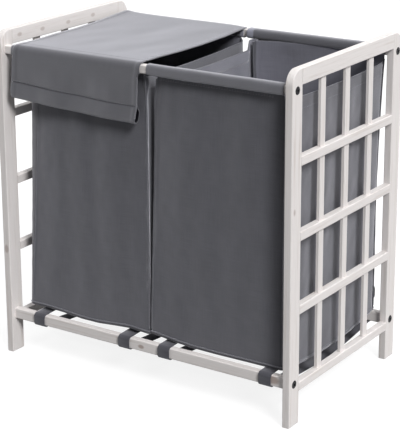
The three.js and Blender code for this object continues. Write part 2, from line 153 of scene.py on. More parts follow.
# %% Place the camera
IMAGE_WIDTH, IMAGE_HEIGHT = 400, 431
CAMERA_PLACE = Vector((1529.75, -2290.66, 1176.56)) * MM
YAW, PITCH, ROLL = 0.60748, 0.28196, -0.011079
FOCAL_PIXELS = 1566.8
AXIS_PIXEL = (170.0, 160.5)

forward = Vector((-math.sin(YAW) * math.cos(PITCH), math.cos(YAW) * math.cos(PITCH), -math.sin(PITCH)))
level = Vector((math.cos(YAW), math.sin(YAW), 0))
upward = level.cross(forward)
image_x = level * math.cos(ROLL) + upward * math.sin(ROLL)
image_y = upward * math.cos(ROLL) - level * math.sin(ROLL)
camera_turn = Matrix((image_x, image_y, -forward)).transposed().to_4x4()
camera = add_object("camera", bpy.data.cameras.new("camera"))
camera.matrix_world = Matrix.Translation(CAMERA_PLACE) @ camera_turn
camera.data.lens = FOCAL_PIXELS / IMAGE_HEIGHT * camera.data.sensor_width
camera.data.shift_x = (IMAGE_WIDTH / 2 - AXIS_PIXEL[0]) / IMAGE_HEIGHT
camera.data.shift_y = (AXIS_PIXEL[1] - IMAGE_HEIGHT / 2) / IMAGE_HEIGHT
scene = bpy.context.scene
scene.camera = camera
print(f"lens {camera.data.lens:.0f} mm, shift {camera.data.shift_x:.3f}, {camera.data.shift_y:.3f}")

# %% [markdown]
# ## Light and background
#
# A product photo like this has one large lamp and white surroundings. The lamp stands high on the
# right: the right faces are brightest after the tops, and the shadows on the front lean to the
# left. A sun with a wide angle gives that direction and soft edges. Two wider ones stand for the
# ceiling panel and for the bright backdrop behind, whose light grazes the tops, and a dim world
# fills the rest. The background is white only for what the camera and the reflections see, so it
# adds no light to the object.

# %% Lamps, world and floor
scene.view_settings.view_transform = "Standard"
# Each lamp's direction, strength and width in degrees
LAMPS = {"key_lamp": ((0.666, -0.400, 0.629), 2.95, 18),
         "ceiling_lamp": ((0, 0, 1), 1.2, 40),
         "backdrop_lamp": ((0.25, 0.82, 0.48), 1.5, 80)}
FILL_LEVEL, PAPER_GLOW, LAMP_DISTANCE = 0.17, 0.86, 3
SQUARE, FLOOR_REACH, FLOOR_LEVEL = ((-1, -1), (1, -1), (1, 1), (-1, 1)), 6.0, -0.3 * MM

for name, (towards, strength, width) in LAMPS.items():
    lamp = add_object(name, bpy.data.lights.new(name, "SUN"))
    lamp.data.energy = strength
    lamp.data.angle = math.radians(width)
    lamp.rotation_euler = Vector(towards).to_track_quat("Z", "Y").to_euler()
    lamp.location = Vector(towards) * LAMP_DISTANCE


def seen_directly(tree):
    """1 where a ray comes straight from the camera, a mirror or glass, and 0 where it carries light."""
    path = add_node(tree, "ShaderNodeLightPath").node.outputs
    seen = calculate(tree, "MAXIMUM", path["Is Camera Ray"], path["Is Glossy Ray"])
    return calculate(tree, "MAXIMUM", seen, path["Is Transmission Ray"])


scene.world = bpy.data.worlds.new("studio")
scene.world.use_nodes = True
sky = scene.world.node_tree
sky.nodes.clear()
fill = add_node(sky, "ShaderNodeBackground", {"Color": linear("#F4F6FA"), "Strength": FILL_LEVEL})
white = add_node(sky, "ShaderNodeBackground", {"Color": linear("#FFFFFF"), "Strength": 1.0})
both = add_node(sky, "ShaderNodeMixShader", {0: seen_directly(sky), 1: fill, 2: white})
add_node(sky, "ShaderNodeOutputWorld", {"Surface": both})

paper, paper_tree = start_material("White background paper, matt")
matt = add_node(paper_tree, "ShaderNodeBsdfDiffuse", {"Color": linear("#7E7E7E")})
shine_through = calculate(paper_tree, "MULTIPLY", seen_directly(paper_tree), PAPER_GLOW)
glow = add_node(paper_tree, "ShaderNodeEmission", {"Color": linear("#FFFFFF"), "Strength": shine_through})
end_material(paper_tree, "ShaderNodeAddShader", {0: matt, 1: glow})

floor_mesh = bpy.data.meshes.new("floor")
floor_corners = [(x * FLOOR_REACH, y * FLOOR_REACH, FLOOR_LEVEL) for x, y in SQUARE]
floor_mesh.from_pydata(floor_corners, [], [(0, 1, 2, 3)])
floor_mesh.materials.append(paper)
add_object("floor", floor_mesh)
print("key lamp from", LAMPS["key_lamp"][0])

# %% [markdown]
# ## Whitewashed pine
#
# The stand is pine that was planed, sanded and brushed with a thin white wash, so the grain shows
# through only faintly: long lines along each piece, a little darker and warmer than the wash, and
# a few small knots. Wood could be one material on all pieces, but the grain has to run along each
# piece, so one function makes it for each of the three directions. Growth lines in pine lie about
# 2 to 6 mm apart, and the brushed fibres are finer than 1 mm.

# %% The pine finish
WASH, GRAIN, KNOT = linear("#DCD7D5"), linear("#C8BFB9"), linear("#8A7469")
GROWTH_PITCH, FIBRE_PITCH, WASH_PATCH = 5.0 * MM, 1.1 * MM, 38 * MM
KNOT_STRETCH = 1.7


def pine(name, along, knots, knot_strength):
    """Pine with its grain along one axis: knots are (place, radius) in metres."""
    material, tree = start_material(name)
    place = add_node(tree, "ShaderNodeTexCoord", output="Object")

    def drawn_out(size, stretch):
        """A size along each axis, longer along the grain."""
        return [size * stretch if axis == along else size for axis in range(3)]

    def grain(pitch, stretch, shift):
        return noise(tree, place, drawn_out(pitch, stretch), 3.0, 0.55, shift)

    def spot(centre, radius):
        """1 in a knot and 0 round it."""
        shrink = [1 / size for size in drawn_out(radius, KNOT_STRETCH)]
        offset = [-c * s for c, s in zip(centre, shrink)]
        near = add_node(tree, "ShaderNodeMapping", {"Vector": place, "Location": offset, "Scale": shrink})
        far = add_node(tree, "ShaderNodeVectorMath", {0: near}, output="Value", operation="LENGTH")
        return spread(tree, far, 0.55, 1.25, 1.0, 0.0, interpolation_type="SMOOTHSTEP")

    growth, fibre = grain(GROWTH_PITCH, 28, 3.1), grain(FIBRE_PITCH, 40, 7.7)
    lines = spread(tree, growth, 0.52, 0.66, 0.0, 0.75)
    washed = spread(tree, grain(WASH_PATCH, 3.5, 1.3), 0.35, 0.68, 0.25, 1.0)
    colour = mix(tree, calculate(tree, "MULTIPLY", lines, washed), WASH, GRAIN)
    colour = brighten(tree, colour, spread(tree, fibre, 0.3, 0.7, 0.955, 1.03))
    spots = 0.0
    for centre, radius in knots:
        spots = calculate(tree, "MAXIMUM", spots, spot(centre, radius))
    colour = mix(tree, calculate(tree, "MULTIPLY", spots, knot_strength), colour, KNOT)
    end_material(tree, "ShaderNodeBsdfPrincipled", {
        "Base Color": colour, "Roughness": spread(tree, fibre, 0.3, 0.7, 0.5, 0.66), "IOR": 1.5,
        "Normal": raised(tree, calculate(tree, "ADD", fibre, growth), 0.35, 0.12 * MM)})
    return material


PANEL_KNOTS = [((-0.296, y, z), 4 * MM)
               for y, z in ((-0.140, 0.606), (-0.074, 0.605), (0.003, 0.605), (0.080, 0.606))]
UPRIGHT_KNOTS = [((-0.303, -0.1925, 0.206), 5 * MM), ((0.308, -0.182, 0.382), 4 * MM)]
RAIL_KNOTS = [((-0.003, -0.1835, 0.075), 4 * MM), ((0.272, -0.1835, 0.078), 8 * MM)]
pine_across = pine("Whitewashed pine, brushed, grain across", 0, RAIL_KNOTS, 0.7)
pine_deep = pine("Whitewashed pine, brushed, grain front to back", 1, PANEL_KNOTS, 0.4)
pine_upright = pine("Whitewashed pine, brushed, grain upright", 2, UPRIGHT_KNOTS, 0.5)
print("pine in three directions, growth lines", GROWTH_PITCH / MM, "mm")

# %% [markdown]
# ## Bolts and nuts
#
# The connector bolts are steel with a black oxide finish: dark, satin, with soft highlights and
# faint handling marks. The barrel nuts are zinc-plated steel, which is a bluish grey metal with a
# mottled crystal finish. Both are metals, so the colour is in the reflection.

# %% Black oxide and zinc


def metal(name, colour, roughness, mottle_pitch, mottle):
    """A metal whose roughness and tone vary in patches of a given size."""
    material, tree = start_material(name)
    patch = noise(tree, add_node(tree, "ShaderNodeTexCoord", output="Object"), [mottle_pitch] * 3, 4.0)
    tone = spread(tree, patch, 0.3, 0.7, 0.85, 1.15)
    end_material(tree, "ShaderNodeBsdfPrincipled", {
        "Base Color": brighten(tree, linear(colour)[:3], tone), "Metallic": 1.0,
        "Roughness": spread(tree, patch, 0.3, 0.7, roughness - mottle, roughness + mottle),
        "Normal": raised(tree, patch, 0.2, 0.05 * MM)})
    return material


black_oxide = metal("Steel, black oxide, satin", "#1B1B1F", 0.42, 0.9 * MM, 0.09)
zinc_plate = metal("Steel, zinc plated", "#B4B8BD", 0.36, 1.6 * MM, 0.08)

# %% [markdown]
# ## The right grain on each wooden piece
#
# A CAD piece keeps its shape and only gets a new material. Its name says what it is, and so in
# which direction its grain runs.

# %% Finish the CAD pieces
FINISHES = {"_bolt": black_oxide, "_nut": zinc_plate, "_leg": pine_upright, "_slat": pine_upright,
            "_rung": pine_deep, "_panel_rail": pine_deep, "_rail": pine_across}
finished = 0
for node_name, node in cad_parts.items():
    fitting = [finish for ending, finish in FINISHES.items() if node_name.endswith(ending)]
    if fitting:
        finished += 1
        for slot in node.material_slots:
            slot.material = fitting[0]
print("finished", finished, "rigid pieces")

# %% [markdown]
# ## Polyester canvas
#
# The bags and lids are a grey woven polyester, stiff enough to hold a soft fold. Close up it is a
# plain weave of fairly even threads, with here and there a thicker one. Woven polyester looks dark
# from the front and pale at a low angle, because its fibres catch light along their edges: that is
# why the lid's top is so much lighter than its drop. Sheen gives that. The real threads are about
# 0.5 mm apart, which a picture of this size can't show, so they are drawn 1.6 mm apart.

# %% The cloth finishes
SHEEN_TINT = linear("#ECECF4")
THREAD_PITCH, SLUB_DEPTH, STAIN_SIZE = 1.6 * MM, 5 * MM, 45 * MM


def cloth(name, dark, light, sheen=1.0, shine=0.5, pitch=None):
    """A plain weave. It lies on the piece's own map, or in space where a thread pitch is given."""
    material, tree = start_material(name)
    if pitch:
        place = add_node(tree, "ShaderNodeTexCoord", output="Object")
    else:
        place = add_node(tree, "ShaderNodeUVMap", uv_map="cloth")
    pitch = pitch or THREAD_PITCH
    # A band of the wave texture is 2 pi / 20 long at scale 1
    wave = {"Vector": place, "Scale": math.pi / 10 / pitch, "Distortion": 0.6, "Detail": 1.0,
            "Detail Scale": 0.25}
    warp, weft = (add_node(tree, "ShaderNodeTexWave", wave, "Fac", bands_direction=way) for way in "XY")
    # The weave stands up where a warp and a weft thread cross
    over = calculate(tree, "MULTIPLY_ADD", warp, weft, 0.5)
    narrow, long = 0.7 * pitch, 28 * pitch
    streaks = [noise(tree, place, (*sizes, SLUB_DEPTH), 2.0) for sizes in ((narrow, long), (long, narrow))]
    slub = calculate(tree, "ADD", *streaks)
    mixed = calculate(tree, "ADD", slub, noise(tree, place, [STAIN_SIZE] * 3, 3.0))
    colour = mix(tree, spread(tree, mixed, 1.2, 1.8, 0.0, 1.0), linear(dark), linear(light))
    height = calculate(tree, "MULTIPLY_ADD", slub, 0.5, over)
    end_material(tree, "ShaderNodeBsdfPrincipled", {
        "Base Color": brighten(tree, colour, spread(tree, over, 0.5, 1.5, 0.93, 1.08)),
        "Normal": raised(tree, height, 0.35, 0.18 * MM), "Roughness": 0.55, "IOR": 1.5,
        "Specular IOR Level": shine, "Sheen Weight": sheen, "Sheen Roughness": 0.52,
        "Sheen Tint": SHEEN_TINT})
    return material


canvas = cloth("Polyester canvas, plain woven, grey", "#303035", "#38383E")
# Painted light: the walls' copy of the same cloth is painted lighter than the lid's, with less sheen and
# gloss
wall_canvas_painted_lighter = cloth("Polyester canvas, plain woven, grey, hanging", "#444449", "#4D4D53", 0.74, 0.2)
# The coated back's blue grey is its own; it is also painted lighter than the outside, as painted light inside
# the bags
coated_back_painted_lighter = cloth("Polyester canvas, coated back, blue grey", "#606069", "#6B6B75", 1.0, 0.2)
# Painted light: the turned-up loops are painted much lighter than the coated back, as if lit
turned_up_painted_light = cloth("Polyester canvas, coated back, turned outwards", "#7C7D88", "#878893", 1.0, 0.2)
# Painted light: the sleeves' copy of the same cloth is painted lighter than the lid's
sleeve_canvas_painted_lighter = cloth("Polyester canvas, plain woven, grey, taut", "#46464B", "#4F4F55")
# Painted shade: the inside of the drop's tunnel hem is near black with no sheen, so its open ends look dark
hem_inside_painted_shade = cloth("Polyester canvas, coated back, in a closed hem", "#15151A", "#1B1B20", 0.0, 0.1)
tape = cloth("Polyester seam tape, blue grey", "#2E2F38", "#383942", 1.0, 0.2, 1.2 * MM)
binding = cloth("Polyester binding tape, grey", "#4A4A50", "#55555B", pitch=1.2 * MM)
webbing = cloth("Polyester webbing, ribbed, grey", "#3B3B41", "#46464C", 0.6, 0.1, 2.2 * MM)
thread = cloth("Polyester sewing thread, twisted, grey", "#5A5A61", "#66666E", pitch=0.8 * MM)
print("weave drawn at", THREAD_PITCH / MM, "mm")

# %% [markdown]
# ## A shell of cloth
#
# Cloth has two faces and a rounded edge. Blender's Solidify could thicken a single sheet, but here
# the thickness has to change along the sheet, because a hem is two layers. So one function takes a
# grid of points in the middle of the cloth and the thickness at each, and builds both faces and
# their rims. It also writes the map that the weave follows, in metres. Seams, stitches and
# bindings lie on the cloth later, so they ask for the same outward direction as the shell.

# %% Build a shell from a grid of points
CORNER_STEPS = ((0, 0), (0, 1), (1, 1), (1, 0))


def unit(vectors):
    return vectors / np.maximum(np.linalg.norm(vectors, axis=-1, keepdims=True), 1e-12)


def outward(grid, closed=False):
    """The outward direction at each point: square to the ways across and along the grid."""
    across = np.roll(grid, -1, 1) - np.roll(grid, 1, 1) if closed else np.gradient(grid, axis=1)
    return unit(np.cross(across, np.gradient(grid, axis=0)))


def way_along(points):
    return np.concatenate([[0], np.cumsum(np.linalg.norm(np.diff(points, axis=0), axis=1))])


def cloth_shell(name, grid, thickness, closed=False, outside=canvas, inside=None, inside_from=0):
    """A closed mesh round a grid of points (rows, columns, 3) in metres. Its outside is where the
    columns turn left of the rows. Where closed, the last column joins the first. The inner face
    may have its own material, from one row on."""
    rows, columns = grid.shape[:2]
    size = rows * columns
    thickness = np.broadcast_to(thickness, (rows, columns))
    half = outward(grid, closed) * thickness[..., None] / 2
    vertices = [*(grid + half).reshape(-1, 3), *(grid - half).reshape(-1, 3)]
    faces, maps = [], []
    middle = grid[rows // 2]
    u, v = way_along(np.vstack([middle, middle[:1]])), way_along(grid[:, columns // 2])
    for row in range(rows - 1):
        for column in range(columns if closed else columns - 1):
            corners = [(row + r) * columns + (column + c) % columns for r, c in CORNER_STEPS]
            at = [(u[column + c], v[row + r]) for r, c in CORNER_STEPS]
            faces += [corners, [size + corner for corner in reversed(corners)]]
            maps += [at, at[::-1]]

    def rim(edge, outs, at):
        """A rounded edge between the two faces, half a thickness further out."""
        first = len(vertices)
        for (row, column), out in zip(edge, outs):
            vertices.append(grid[row, column] + out * thickness[row, column] / 2)
        for step, (place, next_place) in enumerate(zip(at, at[1:])):
            after = (step + 1) % len(edge)
            a, b = (edge[k][0] * columns + edge[k][1] for k in (step, after))
            m, n = first + step, first + after
            faces.extend([[b, a, m, n], [size + a, size + b, n, m]])
            maps.extend([[next_place, place, place, next_place], [place, next_place, next_place, place]])

    foot, head = unit(grid[0] - grid[1]), unit(grid[-1] - grid[-2])
    if closed:
        rim([(0, c) for c in range(columns)], foot, [(x, v[0]) for x in u])
        rim([(rows - 1, c) for c in reversed(range(columns))], head[::-1], [(x, v[-1]) for x in u[::-1]])
    else:
        outs = np.zeros_like(grid)
        outs[0] += foot
        outs[-1] += head
        outs[:, 0] += unit(grid[:, 0] - grid[:, 1])
        outs[:, -1] += unit(grid[:, -1] - grid[:, -2])
        edge = [(0, c) for c in range(columns)] + [(r, columns - 1) for r in range(1, rows)]
        edge += [(rows - 1, c) for c in reversed(range(columns - 1))]
        edge += [(r, 0) for r in reversed(range(1, rows - 1))]
        at = [(u[column], v[row]) for row, column in edge]
        rim(edge, [unit(outs[place]) for place in edge], at + at[:1])
    mesh = bpy.data.meshes.new(name)
    mesh.from_pydata([tuple(p) for p in vertices], [], faces)
    layer = mesh.uv_layers.new(name="cloth")
    layer.data.foreach_set("uv", np.array([pair for face in maps for pair in face], np.float32).ravel())
    mesh.shade_smooth()
    mesh.materials.append(outside)
    if inside:
        mesh.materials.append(inside)
        first = size + inside_from * columns
        for polygon, corners in zip(mesh.polygons, faces):
            polygon.material_index = int(min(corners) >= first and max(corners) < 2 * size)
    piece = add_object(name, mesh)
    return piece


# %% [markdown]
# Three small sums shape the cloth: a share that rises smoothly, a bell for what is strongest at one
# place, and a random swell, because no cloth is quite flat.

# %% Shares, bells and ripples
WAVES = 9


def smooth(value, low, high):
    """A share from 0 at low to 1 at high that starts and ends level."""
    share = np.clip((np.asarray(value, float) - low) / (high - low), 0, 1)
    return share * share * (3 - 2 * share)


def bell(distance, width):
    return np.exp(-(distance / width) ** 2)


def ripples(u, v, *swells):
    """Smooth random swells, each (seed, wave length along u, along v, height) in millimetres."""
    total = 0.0
    for seed, wave_u, wave_v, height in swells:
        draw = np.random.default_rng(seed)
        for _ in range(WAVES):
            turn, stretch, lean = draw.uniform(0, 2 * math.pi), draw.uniform(0.7, 1.5), draw.normal(0, 1)
            phase = 2 * math.pi * (u / (wave_u * MM * stretch) + lean * v / (wave_v * MM)) + turn
            total = total + np.sin(phase) * height * MM / math.sqrt(WAVES)
    return total


# %% [markdown]
# ## Seams, stitches and straps as Geometry Nodes
#
# Piping, stitches and webbing all follow a path, and a hamper has metres of each. Modelling them by
# hand would take days, so three small node trees make them: one sweeps a round cord along a path,
# one sets stitches at an even pitch, and one sweeps a flat band. The sizes are the trees' inputs.
# Each result is turned into a plain mesh at once, because the exported model can't hold instances.

# %% Node trees that follow a path


class Path:
    """A run of points lifted off the cloth, with the outward direction at each."""

    def __init__(self, points, normals, lift=0.0, loops=False):
        self.points, self.normals, self.loops = points + normals * lift, normals, loops

    def lengthways(self):
        if self.loops:
            return unit(np.roll(self.points, -1, 0) - np.roll(self.points, 1, 0))
        return unit(np.gradient(self.points, axis=0))


def start_tree(name, sizes):
    """An empty tree with named sizes as its inputs, and the curves of the paths that come in."""
    tree = bpy.data.node_groups.new(name, "GeometryNodeTree")
    for direction in ("INPUT", "OUTPUT"):
        tree.interface.new_socket("Geometry", in_out=direction, socket_type="NodeSocketGeometry")
    for size in sizes:
        tree.interface.new_socket(size, in_out="INPUT", socket_type="NodeSocketFloat")
    inputs = add_node(tree, "NodeGroupInput").node.outputs
    return tree, inputs, add_node(tree, "GeometryNodeMeshToCurve", {"Mesh": inputs["Geometry"]})


def end_tree(tree, geometry, material):
    real = add_node(tree, "GeometryNodeRealizeInstances", {"Geometry": geometry})
    smooth_shaded = add_node(tree, "GeometryNodeSetShadeSmooth", {"Geometry": real})
    dressed = add_node(tree, "GeometryNodeSetMaterial", {"Geometry": smooth_shaded, "Material": material})
    add_node(tree, "NodeGroupOutput", {"Geometry": dressed})
    return tree


def even_points(tree, curve, distance):
    return add_node(tree, "GeometryNodeResampleCurve", {"Curve": curve, "Length": distance}, mode="LENGTH")


def sweep(tree, curve, profile):
    inputs = {"Curve": curve, "Profile Curve": profile, "Fill Caps": True}
    return add_node(tree, "GeometryNodeCurveToMesh", inputs)


def named_direction(tree, name):
    return add_node(tree, "GeometryNodeInputNamedAttribute", {"Name": name}, data_type="FLOAT_VECTOR")


def cord_tree(material):
    tree, inputs, curve = start_tree("Piping along a path", ("Radius", "Spacing"))
    ring = add_node(tree, "GeometryNodeCurvePrimitiveCircle", {"Resolution": 8, "Radius": inputs["Radius"]})
    return end_tree(tree, sweep(tree, even_points(tree, curve, inputs["Spacing"]), ring), material)


def stitch_tree(material):
    tree, inputs, curve = start_tree("Stitches along a path", ("Pitch", "Length", "Diameter"))
    size = add_node(tree, "ShaderNodeCombineXYZ",
                    {"X": inputs["Length"], "Y": inputs["Diameter"], "Z": inputs["Diameter"]})
    bead = add_node(tree, "GeometryNodeMeshUVSphere", {"Segments": 6, "Rings": 4, "Radius": 0.5})
    shaped = add_node(tree, "GeometryNodeTransform", {"Geometry": bead, "Scale": size})
    directions = {"Primary Axis": add_node(tree, "GeometryNodeInputTangent"),
                  "Secondary Axis": named_direction(tree, "outward")}
    turned = add_node(tree, "FunctionNodeAxesToRotation", directions, primary_axis="X", secondary_axis="Z")
    places = even_points(tree, curve, inputs["Pitch"])
    placed = add_node(tree, "GeometryNodeInstanceOnPoints",
                      {"Points": places, "Instance": shaped, "Rotation": turned})
    return end_tree(tree, placed, material)


def band_tree(material):
    tree, inputs, curve = start_tree("A flat band along a path", ("Width", "Thickness"))
    level_curve = add_node(tree, "GeometryNodeSetCurveNormal",
                           {"Curve": curve, "Normal": named_direction(tree, "across")}, mode="FREE")
    flat = add_node(tree, "GeometryNodeCurvePrimitiveQuadrilateral",
                    {"Width": inputs["Width"], "Height": inputs["Thickness"]})
    rounding = {"Curve": flat, "Radius": calculate(tree, "MULTIPLY", inputs["Thickness"], 0.4), "Count": 2}
    eased = add_node(tree, "GeometryNodeFilletCurve", rounding, mode="POLY")
    return end_tree(tree, sweep(tree, level_curve, eased), material)


def grow(name, tree, paths, sizes, body="frame"):
    """Run a tree on paths and keep what it makes as one plain mesh that rides on a body."""
    points, edges = [], []
    for path in paths:
        first, count = len(points), len(path.points)
        points += [tuple(point) for point in path.points]
        edges += [(first + k, first + (k + 1) % count) for k in range(count if path.loops else count - 1)]
    mesh = bpy.data.meshes.new(name)
    mesh.from_pydata(points, edges, [])
    directions = {"outward": [path.normals for path in paths],
                  "across": [np.cross(path.lengthways(), path.normals) for path in paths]}
    for attribute, values in directions.items():
        layer = mesh.attributes.new(attribute, "FLOAT_VECTOR", "POINT")
        layer.data.foreach_set("vector", np.concatenate(values).astype(np.float32).ravel())
    piece = add_object(name, mesh)
    modifier = piece.modifiers.new("follow the path", "NODES")
    modifier.node_group = tree
    for socket in tree.interface.items_tree:
        if socket.in_out == "INPUT" and socket.name in sizes:
            modifier[socket.identifier] = sizes[socket.name]
    result = bpy.data.meshes.new_from_object(piece.evaluated_get(bpy.context.evaluated_depsgraph_get()))
    piece.modifiers.remove(modifier)
    piece.data = result
    result.name = name
    for attribute in [layer.name for layer in result.attributes if layer.name in directions]:
        result.attributes.remove(result.attributes[attribute])
    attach(piece, body)
    print(name, len(result.polygons), "faces")
    return piece


PIPING = cord_tree(binding)
STITCHES = stitch_tree(thread)
STRAPPING = band_tree(webbing)
TAPE = band_tree(tape)
SEAM = {"Radius": 0.9 * MM, "Spacing": 8 * MM}
FOOT_SEAM = {"Radius": 1.4 * MM, "Spacing": 5 * MM}
RIM = {"Radius": 1.0 * MM, "Spacing": 6 * MM}
SEAM_TAPE = {"Width": 4 * MM, "Thickness": 0.9 * MM}
STITCH = {"Pitch": 5 * MM, "Length": 3.6 * MM, "Diameter": 0.8 * MM}

# %% [markdown]
# ## Where the cloth goes
#
# The CAD bag says where the bag hangs: its box and the rails' boxes give every place that the
# cloth needs. What the photo adds are small things: each sleeve stops a little short of its bag's
# sides, and each corner leans its own way between the foot and the sleeve.

# %% Read the places from the frame
SINGLE, HEM_EXTRA, HEM = 1.3 * MM, 1.2 * MM, 20 * MM
rail_low, rail_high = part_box("front_top_rail")
foot_low, foot_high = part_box("front_bottom_rail")
bag_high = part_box("left_bag")[1]
RAIL_Y, RAIL_Z = -(rail_low.y + rail_high.y) / 2, (rail_low.z + rail_high.z) / 2
SLEEVE_HALF_DEPTH, SLEEVE_HALF_HEIGHT = bag_high.y - RAIL_Y, bag_high.z - RAIL_Z
SLEEVE_BOTTOM = RAIL_Z - SLEEVE_HALF_HEIGHT
BODY_HALF_DEPTH, WALL_TOP_Y = 165 * MM, 171 * MM
BAG_FOOT, FLOOR_SAG = foot_high.z + 6 * MM, 15 * MM


def height_share(z):
    """0 at the bags' foot and 1 at the sleeves' lower edge."""
    return np.clip((z - BAG_FOOT) / (SLEEVE_BOTTOM - BAG_FOOT), 0, 1)


class Bag:
    """One bag in millimetres: the ends of its front (-1) and rear (1) sleeve along X; for each corner
    its place along X at the foot and at the top, how late it leans, its radius at the foot and how
    that grows; its side walls' tops; and how its foot runs in front, above or below the mean."""

    def __init__(self, name, seed, sleeves, corners, side_tops, foot):
        self.name, self.seed, self.sleeves = name, seed, sleeves
        self.corners, self.side_tops, self.foot = corners, side_tops, np.array(foot).T
        straps = {node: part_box(node) for node in (f"{name}_bag_outer_strap", f"{name}_bag_inner_strap")}
        self.straps = {node: (low.x + high.x) / 2 for node, (low, high) in straps.items()}

    def corner(self, place, z):
        foot, top, power = self.corners[place][:3]
        lean = (foot + (top - foot) * height_share(z) ** power) * MM
        # The right bag's two corners next to the left bag also bulge, over part of their height
        if (self.name, place) == ("right", "front_left"):
            return lean + 5 * MM * smooth(z, 520 * MM, 572 * MM)
        if (self.name, place) == ("right", "rear_left"):
            return lean + 6 * MM * bell(z - 490 * MM, 50 * MM)
        return lean

    def radius(self, place, z):
        foot, growth = self.corners[place][3:]
        return foot * MM + growth * np.clip(z - BAG_FOOT, 0, None)


bags = [
    Bag("left", 1, {-1: (-280.5, 3.5), 1: (-280.5, -10)},
        {"front_left": (-272, -277, 3, 6, 0.1), "front_right": (3, 6, 2, 2, 0.002),
         "rear_right": (2, -8, 2, 5, 0.012), "rear_left": (-272, -280, 3, 8, 0.05)}, {2: 569, 6: 564},
        [(-272, 3.5), (-233, 4), (-189, 2), (-150, -1), (-112, -1), (-73, 2.5), (-39, 5), (1, 2.5)]),
    Bag("right", 2, {-1: (18.4, 288.5), 1: (13, 288.5)},
        {"front_left": (7.5, 16.5, 1, 3, 0.035), "front_right": (280, 286, 3, 7, 0.03),
         "rear_right": (279, 287, 3, 3, 0.006), "rear_left": (7.5, 17, 1, 8, 0.004)}, {2: 563, 6: 561},
        [(6, 5), (16, 5), (59, 0), (95, -2.5), (147, -3), (216, -2.4), (281, -2)]),
]
print("sleeves from", round(SLEEVE_BOTTOM / MM, 1), "to", round(bag_high.z / MM, 1), "mm up")

# %% [markdown]
# ## The bags' walls
#
# Each bag hangs from the upper rails, so its front and back are drawn outwards to the sleeves at
# the top and hang straight below. A box with thin walls would look like card. Here a ring of points
# goes round the bag at each height, with corners whose radius grows towards the top, where nothing
# holds them. On this come broad folds at chosen places, which hang down from the sleeves and fade,
# and a fine random swell. The side walls end lower than the sleeves, in an open hem, and the foot
# droops a little between the straps.

# %% Places on the ring
FRONT_COLUMNS, SIDE_COLUMNS, CORNER_COLUMNS = 60, 66, 10
# The ring's eight faces, from the front's left end and anticlockwise: even ones are flat
FACE_COLUMNS = [FRONT_COLUMNS, CORNER_COLUMNS, SIDE_COLUMNS, CORNER_COLUMNS] * 2
FRONT, RIGHT, REAR, LEFT = 0, 2, 4, 6
CORNERS = ["front_right", "rear_right", "rear_left", "front_left"]
# The face and the share along it of each column
COLUMNS = [(face, step / count) for face, count in enumerate(FACE_COLUMNS) for step in range(count)]
DEPTH_POWER = 7


def plan_point(bag, face, along, z):
    """Place and outward direction on the bag's ring at heights z."""
    depth = BODY_HALF_DEPTH + (WALL_TOP_Y - BODY_HALF_DEPTH) * height_share(z) ** DEPTH_POWER
    x = {place: bag.corner(place, z) for place in bag.corners}
    r = {place: bag.radius(place, z) for place in bag.corners}
    zero, one = np.zeros_like(z), np.ones_like(z)
    side = 1 if face in (RIGHT, REAR) else -1
    start, end = CORNERS[face // 2 - 1], CORNERS[face // 2]
    if face in (FRONT, REAR):
        first, last = x[start] - side * r[start], x[end] + side * r[end]
        return first + (last - first) * along, side * depth, zero, side * one
    if face in (RIGHT, LEFT):
        first, last = -side * (depth - r[start]), side * (depth - r[end])
        y = first + (last - first) * along
        towards = (y + side * depth) / (2 * side * depth)
        return x[start] + (x[end] - x[start]) * towards, y, side * one, zero
    place = CORNERS[face // 2]
    side_x, side_y = (1 if "right" in place else -1), (1 if "rear" in place else -1)
    angle = math.radians(90) * (along + (face - 3) / 2)
    nx, ny = math.cos(angle) * one, math.sin(angle) * one
    return x[place] + (nx - side_x) * r[place], side_y * depth + (ny - side_y) * r[place], nx, ny


# %% [markdown]
# Each fold is a low ridge: its place at the top and at the foot, its half width, the height where
# it ends, and how far it stands out, all in millimetres.

# %% Folds and the foot's droop
FOLDS = {
    "right": {FRONT: [(103, 99, 27, 270, 2.6), (207, 202, 25, 330, 2.6), (56, 50, 14, 430, 1.4),
                      (158, 152, 16, 440, -1.2)],
              RIGHT: [(-122, -118, 27, 110, 2.8), (-42, -45, 25, 95, 2.8), (42, 40, 26, 95, 2.6),
                      (126, 122, 24, 120, 2.8)],
              REAR: [(90, 84, 30, 240, 2.2), (190, 200, 26, 200, 2.0)],
              LEFT: [(-100, -96, 30, 200, -1.8), (20, 24, 34, 160, -2.0), (118, 112, 28, 260, -1.6)]},
    "left": {FRONT: [(-136, -142, 24, 230, 2.2), (-60, -64, 24, 200, 2.0), (-212, -220, 20, 300, 1.4)],
             RIGHT: [(-110, -104, 30, 180, -1.4), (10, 4, 32, 200, -1.6), (112, 116, 28, 240, -1.4)],
             REAR: [(-80, -84, 30, 220, 2.2), (-190, -180, 26, 260, 2.0)],
             LEFT: [(-96, -92, 30, 150, 2.4), (6, 0, 32, 120, 2.6), (110, 104, 28, 180, 2.2)]},
}
FOLD_LOW, FOLD_RISE, FOLD_FADE = 90, 480, 130 * MM
# Where the right bag's rear left corner is turned up, the side panel's top jumps
TURNED_UP_REACH, JUMP = 0.08, (6.043, 6.062)


def fold_push(bag, face, place, z):
    """How far the folds stand out at places along a face."""
    push = np.zeros_like(z)
    for top, bottom, width, z_low, depth in FOLDS[bag.name].get(face, ()):
        centre = (bottom + (top - bottom) * (z / MM - FOLD_LOW) / FOLD_RISE) * MM
        reach = smooth(z, z_low * MM, z_low * MM + FOLD_FADE)
        push += depth * MM * reach * bell(place - centre, width * MM)
    return push


def foot_height(bag, x, y):
    """The wall's lower edge: held up at the straps, slack between them, and lower at the sides' middle."""
    middle = 1 - min(1.0, (y / BODY_HALF_DEPTH) ** 2)
    return BAG_FOOT + float(np.interp(x / MM, *bag.foot)) * MM * (1 - middle) - FLOOR_SAG * middle


